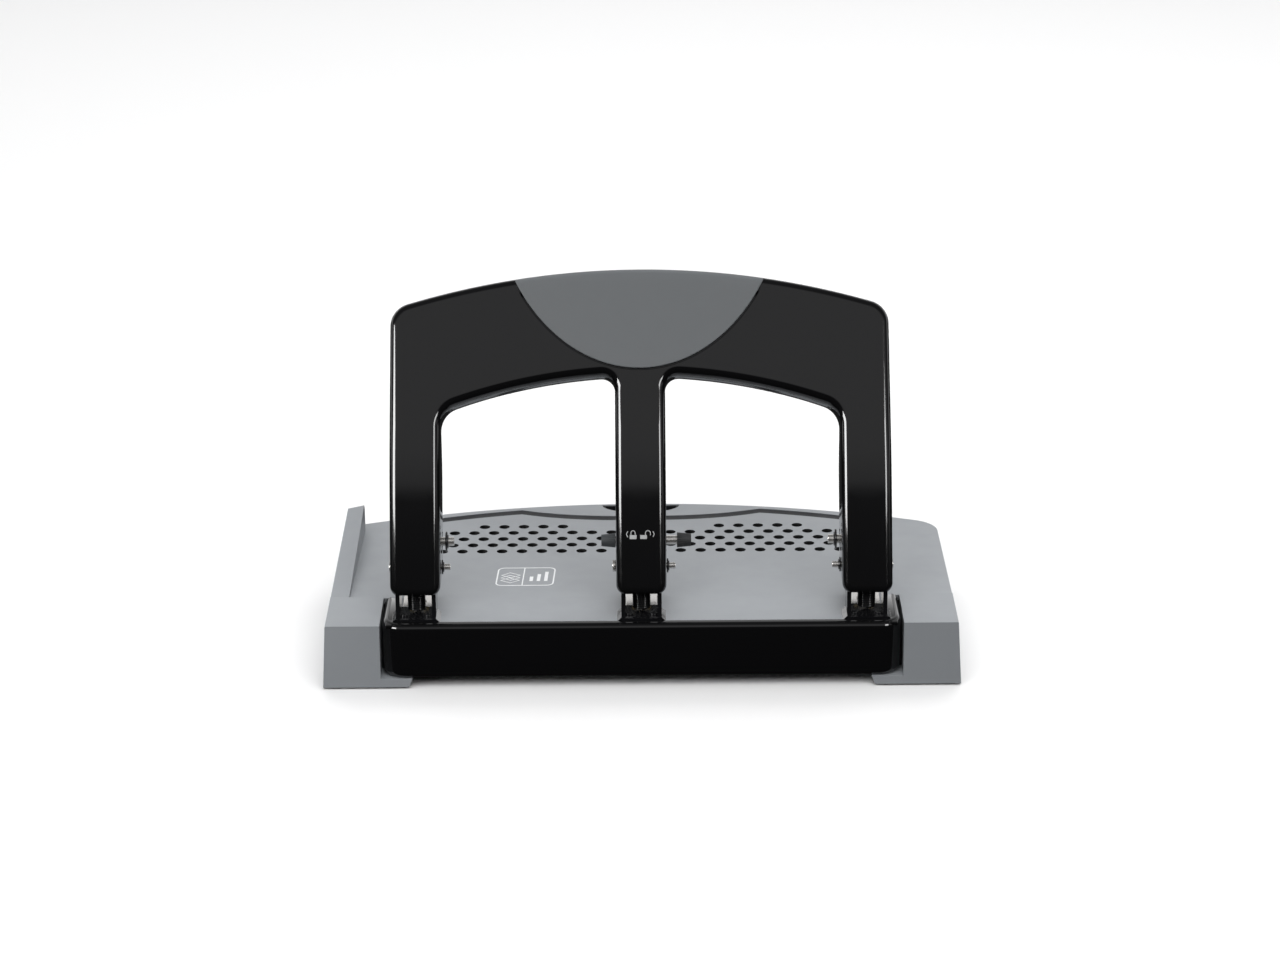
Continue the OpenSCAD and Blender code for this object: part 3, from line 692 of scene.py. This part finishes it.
def build_cap():
    loop = cap_outline()
    normals = loop_normals(loop)
    # section from the foot of the rim inwards over the face: (inset, height above the sheet)
    section = [(0.05, 0.0), (0.0, 0.3), (0.06, 0.46), (0.18, 0.6), (0.4, 0.69), (0.7, CAP_PROUD)]
    section += [(inset, CAP_PROUD) for inset in (1.2, 1.8, 2.6)]
    bm = bmesh.new()

    def place(x, w, height):
        return to_frame(x, *profile(w, sheet_depth(x, w) - height))

    def inset_loop(inset):
        return [(x - n[0] * inset, w - n[1] * inset) for (x, w), n in zip(loop, normals)]

    rings = [[bm.verts.new(place(x, w, height)) for x, w in inset_loop(inset)] for inset, height in section]
    under = [bm.verts.new(place(x, w, 0.0)) for x, w in inset_loop(section[-1][0])]
    rings.insert(0, under)
    bridge(bm, rings)
    inner = inset_loop(section[-1][0])
    fill_region(bm, rings[-1], inner, lambda x, w, _: place(x, w, CAP_PROUD), 4.0, False)
    fill_region(bm, under, inner, lambda x, w, _: place(x, w, 0.0), 8.0, True)
    bmesh.ops.recalc_face_normals(bm, faces=bm.faces)
    return new_object("grip_cap_moulding", bm, "soft_grip", "handle", ["grip_cap"])


shade_by_angle(build_cap(), 50)


# ---------------------------------------------------------------- rail
def build_rail():
    """The rail as a folded pressing: one section swept round the front and both ends."""
    half, r, sheet, roll, inner = 124.5, 11.0, 2.0, 2.9, 0.8  # inner is the roll on the inside
    z0, z1, end_z, end_y = 5.3, 32.7, 24.0, 37.2  # the ends are cut higher and run back to end_y
    step_y = 12.0  # where the lower edge steps up
    flange_front, flange_turn = 5.0, 4.0
    left_end = [((-half, y), (-1, 0)) for y in (end_y, 30, 22, 14, step_y + 0.1, step_y - 0.1)]
    left_end += [
        ((-half + r + r * math.cos(a), r + r * math.sin(a)), (math.cos(a), math.sin(a)))
        for a in np.linspace(math.pi, 1.5 * math.pi, 13)
    ]
    front = [((x, 0), (0, -1)) for x in np.linspace(-half + r + 3, half - r - 3, 40)]
    path = left_end + front + [((-x, y), (-nx, ny)) for (x, y), (nx, ny) in left_end[::-1]]
    bm = bmesh.new()
    rings = []
    for (px, py), (nx, ny) in path:
        low = z0 if py < step_y else end_z
        flange = flange_front
        if py > flange_turn:
            flange = max(sheet + inner + 0.1, flange_front - (py - flange_turn))
        section = [(flange, low + sheet), (flange, low)]
        quarter = math.pi / 2
        for a in np.linspace(0, quarter, 7):
            section.append((roll - roll * math.sin(a), low + roll - roll * math.cos(a)))
        for a in np.linspace(0, quarter, 9):
            section.append((roll - roll * math.cos(a), z1 - roll + roll * math.sin(a)))
        section += [(flange, z1), (flange, z1 - sheet)]
        section += [(sheet + inner, z1 - sheet), (sheet, z1 - sheet - inner)]
        section += [(sheet, low + sheet + inner), (sheet + inner, low + sheet)]
        rings.append([bm.verts.new(to_frame(px - nx * i, py - ny * i, z)) for i, z in section])
    bridge(bm, rings)
    bm.faces.new(rings[0][::-1])
    bm.faces.new(rings[-1])
    bmesh.ops.recalc_face_normals(bm, faces=bm.faces)
    rail = new_object("rail_pressing", bm, "black_enamel", "base", ["punch_rail"])
    shade_by_angle(rail, 30)
    floor_in, floor_out = 118.0, half - sheet - 0.1
    for side in (-1, 1):
        x0, x1 = sorted((side * floor_in, side * floor_out))
        name = f"rail_end_floor_{'left' if side < 0 else 'right'}"
        slab(name, (x0, sheet, DIE_Z - sheet), (x1, end_y, DIE_Z))


def slab(name, lo, hi, slot_name="black_enamel", body="base", width=0.4):
    """A block with rounded edges between two corners, in millimetres of the modelling frame."""
    bm = bmesh.new()
    plan = ((lo[0], lo[1]), (hi[0], lo[1]), (hi[0], hi[1]), (lo[0], hi[1]))
    corners = [[bm.verts.new(to_frame(x, y, z)) for x, y in plan] for z in (lo[2], hi[2])]
    bridge(bm, corners)
    bm.faces.new(corners[0][::-1])
    bm.faces.new(corners[1])
    bmesh.ops.bevel(
        bm, geom=bm.edges[:], offset=width * MM, segments=3, profile=0.5, affect="EDGES", clamp_overlap=True
    )
    bmesh.ops.recalc_face_normals(bm, faces=bm.faces)
    obj = new_object(name, bm, slot_name, body)
    shade_by_angle(obj, 30)
    return obj


build_rail()


# ---------------------------------------------------------------- return springs
def build_spring(side):
    """Extension coil with a hook at each end, from the bracket's foot to the leg's spring tab."""
    center_x, center_y = HEADS[side], 15.5
    coil_r, wire_r, sides, per_turn, turns = 3.8, 0.55, 10, 28, 7
    z0, z1 = 33.95, 45.35
    hook, hook_x = 1.6, 1.4
    path = [(0.0, 0.0, z0 + wire_r), (hook_x, 0.0, z0 + wire_r)]
    steps = turns * per_turn
    for k in range(steps + 1):
        a = 2 * math.pi * k / per_turn
        z = z0 + hook + (z1 - z0 - 2 * hook) * k / steps
        path.append((coil_r * math.cos(a), coil_r * math.sin(a), z))
    path += [(hook_x, 0.0, z1 - wire_r), (0.0, 0.0, z1 - wire_r)]
    pts = [Vector(p) for p in path]
    bm = bmesh.new()
    rings = []
    for k, p in enumerate(pts):
        t = (pts[min(k + 1, len(pts) - 1)] - pts[max(k - 1, 0)]).normalized()
        side_dir = t.cross(Vector((0, 0, 1)))
        side_dir = side_dir.normalized() if side_dir.length > 1e-3 else Vector((0, 1, 0))
        up = side_dir.cross(t)
        ring = []
        for b in np.linspace(0, 2 * math.pi, sides, endpoint=False):
            q = p + side_dir * wire_r * math.cos(b) + up * wire_r * math.sin(b)
            ring.append(bm.verts.new(to_frame(q.x + center_x, q.y + center_y, q.z)))
        rings.append(ring)
    bridge(bm, rings)
    bm.faces.new(rings[0][::-1])
    bm.faces.new(rings[-1])
    bmesh.ops.recalc_face_normals(bm, faces=bm.faces)
    spring = new_object(f"return_spring_{side}_coil", bm, "black_steel", None, [f"return_spring_{side}"])
    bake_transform(spring)


for side in HEADS:
    build_spring(side)

# ---------------------------------------------------------------- plain rounded pieces
BODY_OF = {n: b for b, ns in frame["record"]["behaviour"]["bodies"].items() for n in ns}
SLOT_OF = {s["node"]: s["material_slot"] for s in frame["record"]["subparts"]}
EDGE_WIDTH = {
    "base_shell": 0.9, "paper_guide": 0.8, "tray_front": 1.0, "chip_tray": 0.4,
    "bottom_cover": 0.4, "rubber_feet": 0.3, "base_screws": 0.15, "bracket_rivets": 0.2,
    "lock_pin": 0.3, "lock_knob_left": 0.3, "lock_knob_right": 0.3,
    "drive_washers_left": 0.3, "drive_washers_right": 0.3,
}
PLAIN_EDGE = 0.25  # rounding of every other piece's edges
REBUILT = ("handle_shell", "grip_cap", "punch_rail", "return_spring")
GRILLE_PITCH, GRILLE_D, GRILLE_Y = 10.0, 5.4, 101.0
GRILLE_ROWS = ((0, 10), (0.5, 9.5), (0, 10), (0.5, 9.5), (4, 8))  # first and last hole, in pitches
HOLE_CENTRES = np.array([
    (side * (first + k) * GRILLE_PITCH, GRILLE_Y + row * GRILLE_PITCH * math.sin(math.pi / 3))
    for row, (first, last) in enumerate(GRILLE_ROWS)
    for k in range(int(last - first) + 1)
    for side in (-1, 1)
])


def at_grille(point):
    """Whether a point lies at the edge or on the wall of a chip window hole."""
    away = HOLE_CENTRES - (point.x / MM, point.y / MM - FRONT_Y)
    return np.min(np.hypot(away[:, 0], away[:, 1])) < GRILLE_D / 2 + 0.6


def paint_grille_shade(base):
    """The walls of the chip window holes get a near-black paint, darker than the platform: painted shade
    standing in for the shade inside the holes.
    """
    base.data.materials.append(MAT["hole_shade_paint"])
    for face in base.data.polygons:
        is_wall = abs(face.normal.z) < 0.6
        if is_wall and at_grille(face.center):
            face.material_index = 1


def edge_share(point):
    """Crisp hole rims and a crisp crease between the front step and the platform."""
    rim, crease, elsewhere = 0.06, 0.15, 1.0
    if at_grille(point):
        return rim
    beside_crease = abs(point.y / MM - FRONT_Y - CREASE_Y + 0.5) < 1.2
    on_top = point.z / MM > PLATFORM_Z - 1.5
    return crease if beside_crease and on_top else elsewhere


for name in NODES:
    if name.startswith(REBUILT):
        continue
    share = edge_share if name in ("base_shell", "paper_guide") else None
    finished = rounded_copy(name, SLOT_OF[name], BODY_OF[name], EDGE_WIDTH.get(name, PLAIN_EDGE), share=share)
    if name == "base_shell":
        # painted shade: the chip window hole walls get the near-black paint
        paint_grille_shade(finished)
    # painted shade: the right knob takes the darker copy of the same knob rubber
    if name == "lock_knob_right":
        finished.data.materials[0] = MAT["knob_rubber_painted_shade"]


# ---------------------------------------------------------------- printed pictograms
def ribbon_faces(bm, points, width, closed, place, lift=0.05):
    """A thin raised line of even width along points; place maps (u, v, height) to 3D."""
    pts = np.array(points, float)
    if closed:
        ahead, behind = np.roll(pts, -1, 0), np.roll(pts, 1, 0)
    else:
        ahead = np.vstack([pts[1:], pts[-1:]])
        behind = np.vstack([pts[:1], pts[:-1]])
    t = ahead - behind
    t /= np.linalg.norm(t, axis=1)[:, None] + 1e-12
    n = np.stack([-t[:, 1], t[:, 0]], 1) * width / 2
    rows = [
        [bm.verts.new(place(*(p + d * s), h)) for s, h in ((-1, 0), (-1, lift), (1, lift), (1, 0))]
        for p, d in zip(pts, n)
    ]
    pairs = list(zip(rows, rows[1:] + (rows[:1] if closed else [])))
    for a, b in pairs:
        for i in range(4):
            j = (i + 1) % 4
            bm.faces.new((a[i], a[j], b[j], b[i]))
    if not closed:
        bm.faces.new(rows[0][::-1])
        bm.faces.new(rows[-1])


def patch_faces(bm, points, place, lift=0.05):
    """A thin raised patch with the given outline."""
    low = [bm.verts.new(place(u, v, 0)) for u, v in points]
    top = [bm.verts.new(place(u, v, lift)) for u, v in points]
    n = len(points)
    for i in range(n):
        j = (i + 1) % n
        bm.faces.new((low[i], low[j], top[j], top[i]))
    bm.faces.new(low[::-1])
    bm.faces.new(top)


def on_leg(u, v, height):
    """Across the middle leg and up its face from the foot."""
    return to_frame(u, *profile(FOOT_W + v, -height))


def on_platform(u, v, height):
    return to_frame(u, v, PLATFORM_Z + height)


def lock_symbols():
    """A shut and an open padlock on the middle leg, each with a small chevron beside it."""
    bm = bmesh.new()
    base, body_h, line = 27.5, 1.9, 0.38
    for body_x, body_w, shackle_x, shackle_r in ((-3.8, 3.3, -3.8, 1.0), (1.2, 3.2, 3.3, 1.2)):
        patch_faces(
            bm,
            [(body_x + sx * body_w / 2, base + sy * body_h) for sx, sy in ((-1, 0), (1, 0), (1, 1), (-1, 1))],
            on_leg,
        )
        closed = shackle_x == body_x
        hoop = arc(shackle_x, base + body_h + 2.1 - shackle_r, shackle_r, 0, 180, 14)
        left_end = [(shackle_x - shackle_r, base + body_h + 0.02)]
        right_end = [(shackle_x + shackle_r, base + body_h + (0.02 if closed else -0.1))]
        ribbon_faces(bm, right_end + hoop + left_end, line, False, on_leg)
    for tip, back in ((-7.0, -6.3), (6.3, 5.7)):
        ribbon_faces(bm, [(back, base + 0.9), (tip, base + 2.3), (back, base + 3.7)], line, False, on_leg)
    bmesh.ops.recalc_face_normals(bm, faces=bm.faces)
    return new_object("lock_symbols", bm, "black_enamel", "handle", material="grey_ink", smooth=False)


def sheet_symbol():
    """A framed badge on the platform: a small stack of sheets beside three level bars."""
    bm = bmesh.new()
    x0, x1, y0, y1, lean, r = -71.6, -43.6, 54.4, 77.8, 0.9, 3.2

    def slanted(u, v, height):
        return on_platform(u + lean * (v - y0) / (y1 - y0), v, height)

    frame_line = []
    for cx, cy, start in (
        (x1 - r, y0 + r, -90), (x1 - r, y1 - r, 0), (x0 + r, y1 - r, 90), (x0 + r, y0 + r, 180),
    ):
        frame_line += arc(cx, cy, r, start, start + 90, 8)
    ribbon_faces(bm, frame_line, 0.7, True, slanted)
    ribbon_faces(bm, [(-58.7, y0 + 0.3), (-58.7, y1 - 0.3)], 0.55, False, slanted)
    for k in range(3):
        v = 61.2 + 3.4 * k
        sheet_corners = [(-69.6, v), (-64.6, v - 3.4), (-60.4, v), (-65.6, v + 3.4)]
        ribbon_faces(bm, sheet_corners, 0.62, True, slanted)
    for k in range(3):
        ribbon_faces(bm, [(-54.6 + 3.6 * k, 60.2), (-54.6 + 3.6 * k, 66.0 + 3.2 * k)], 1.7, False, slanted)
    bmesh.ops.recalc_face_normals(bm, faces=bm.faces)
    return new_object("capacity_symbol", bm, "grey_plastic", "base", material="white_ink", smooth=False)


lock_symbols()
sheet_symbol()

# ---------------------------------------------------------------- stage, lights and camera
def stage_material(name, color, rough):
    m = bpy.data.materials.new(name)
    m.use_nodes = True
    b = m.node_tree.nodes["Principled BSDF"]
    b.inputs["Base Color"].default_value = (*color, 1)
    b.inputs["Roughness"].default_value = rough
    b.inputs["Specular IOR Level"].default_value = 0.0
    return m


def build_floor():
    bm = bmesh.new()
    bmesh.ops.create_grid(bm, x_segments=2, y_segments=2, size=6)
    mesh = bpy.data.meshes.new("floor")
    bm.to_mesh(mesh)
    bm.free()
    mesh.materials.append(stage_material("floor_white", (0.885, 0.885, 0.885), 0.9))
    floor = bpy.data.objects.new("floor", mesh)
    bpy.context.scene.collection.objects.link(floor)
    floor.visible_glossy = False
    floor.visible_diffuse = False
    return floor


def area_light(name, direction, distance, size, radiance, target=(0, 0, 0.08), tilt=0):
    """A softbox in the given direction (azimuth from the front, elevation), of a given brightness.
    tilt turns it clockwise about its own axis, as seen from the object, in degrees."""
    az, el = (math.radians(v) for v in direction)
    d = Vector((math.sin(az) * math.cos(el), -math.cos(az) * math.cos(el), math.sin(el)))
    data = bpy.data.lights.new(name, "AREA")
    data.shape = "RECTANGLE"
    data.size, data.size_y = size
    data.energy = radiance * math.pi * size[0] * size[1]
    light = bpy.data.objects.new(name, data)
    light.location = Vector(target) + d * distance
    facing = (-d).to_track_quat("-Z", "Y") @ Quaternion((0, 0, 1), math.radians(tilt))
    light.rotation_euler = facing.to_euler()
    bpy.context.scene.collection.objects.link(light)
    return light


build_floor()
# Broad lights that only light surfaces, and softboxes that only show as reflections
for name, direction, distance, size, radiance in (
    ("overhead", (60, 70), 1.5, (2.4, 2.0), 1.03),
    ("front_high", (0, 45), 2.4, (3.2, 1.6), 2.35),
    ("rear_high", (180, 50), 2.4, (3.2, 1.6), 2.2),
    ("front_left_low", (-60, 4), 0.7, (0.4, 0.4), 2.6),
):
    area_light(name, direction, distance, size, radiance).visible_glossy = False
for name, direction, size, radiance, tilt in (
    ("softbox_left", (-62, 21.5), (0.8, 0.6), 15, 18),
    ("softbox_right", (45, 26.5), (0.42, 0.6), 10, -14),
):
    area_light(name, direction, 1.6, size, radiance, tilt=tilt).visible_diffuse = False

# Brightness of the studio by angle over the front: horizon ahead, up, overhead, back wall
STUDIO_ARC = (
    (-90, 0.02), (0, 0.025), (20, 0.025), (22.5, 0.05), (27, 0.34), (36, 0.44), (50, 0.46), (60, 0.36),
    (70, 0.1), (120, 0.08), (150, 0.45), (180, 1.45),
)


def build_world():
    world = bpy.data.worlds.new("studio")
    world.use_nodes = True
    t = world.node_tree
    background = t.nodes["Background"]

    def add(kind, **values):
        n = t.nodes.new(kind)
        for k, v in values.items():
            setattr(n, k, v)
        return n

    coords = add("ShaderNodeTexCoord")
    split = add("ShaderNodeSeparateXYZ")
    t.links.new(coords.outputs["Generated"], split.inputs[0])
    ahead = add("ShaderNodeMath", operation="MULTIPLY")
    ahead.inputs[1].default_value = -1
    t.links.new(split.outputs["Y"], ahead.inputs[0])
    angle = add("ShaderNodeMath", operation="ARCTAN2")
    t.links.new(split.outputs["Z"], angle.inputs[0])
    t.links.new(ahead.outputs[0], angle.inputs[1])
    share = add("ShaderNodeMapRange")
    share.inputs["From Min"].default_value = -math.pi / 2
    share.inputs["From Max"].default_value = math.pi
    t.links.new(angle.outputs[0], share.inputs["Value"])
    ramp = add("ShaderNodeValToRGB")
    elements = ramp.color_ramp.elements
    while len(elements) < len(STUDIO_ARC):
        elements.new(0.5)
    for element, (degrees, level) in zip(elements, STUDIO_ARC):
        element.position = (degrees + 90) / 270
    for element, (degrees, level) in zip(elements, STUDIO_ARC):
        element.color = (level, level, level * 1.01, 1)
    t.links.new(share.outputs["Result"], ramp.inputs["Fac"])
    path = add("ShaderNodeLightPath")
    mix = add("ShaderNodeMix", data_type="RGBA")
    mix.inputs[7].default_value = (1.0, 1.0, 1.0, 1)
    t.links.new(path.outputs["Is Camera Ray"], mix.inputs[0])
    t.links.new(ramp.outputs["Color"], mix.inputs[6])
    t.links.new(mix.outputs[2], background.inputs["Color"])
    bpy.context.scene.world = world


build_world()
bpy.context.scene.view_settings.view_transform = "Standard"

PHOTO_WIDTH, FOCAL_PX, SENSOR = 1280, 3500, 36.0
PITCH, ROLL = math.radians(20), -0.00716
camera_data = bpy.data.cameras.new("camera")
camera_data.sensor_width = SENSOR
camera_data.lens = FOCAL_PX / PHOTO_WIDTH * SENSOR
camera_data.clip_end = 50
camera = bpy.data.objects.new("camera", camera_data)
camera.location = (-0.0003, -1.5439 + FRONT_Y * MM, 0.6679)
camera.rotation_mode = "QUATERNION"
camera.rotation_quaternion = (
    Matrix.Rotation(math.pi / 2 - PITCH, 4, "X") @ Matrix.Rotation(ROLL, 4, "Z")
).to_quaternion()
bpy.context.scene.collection.objects.link(camera)
bpy.context.scene.camera = camera
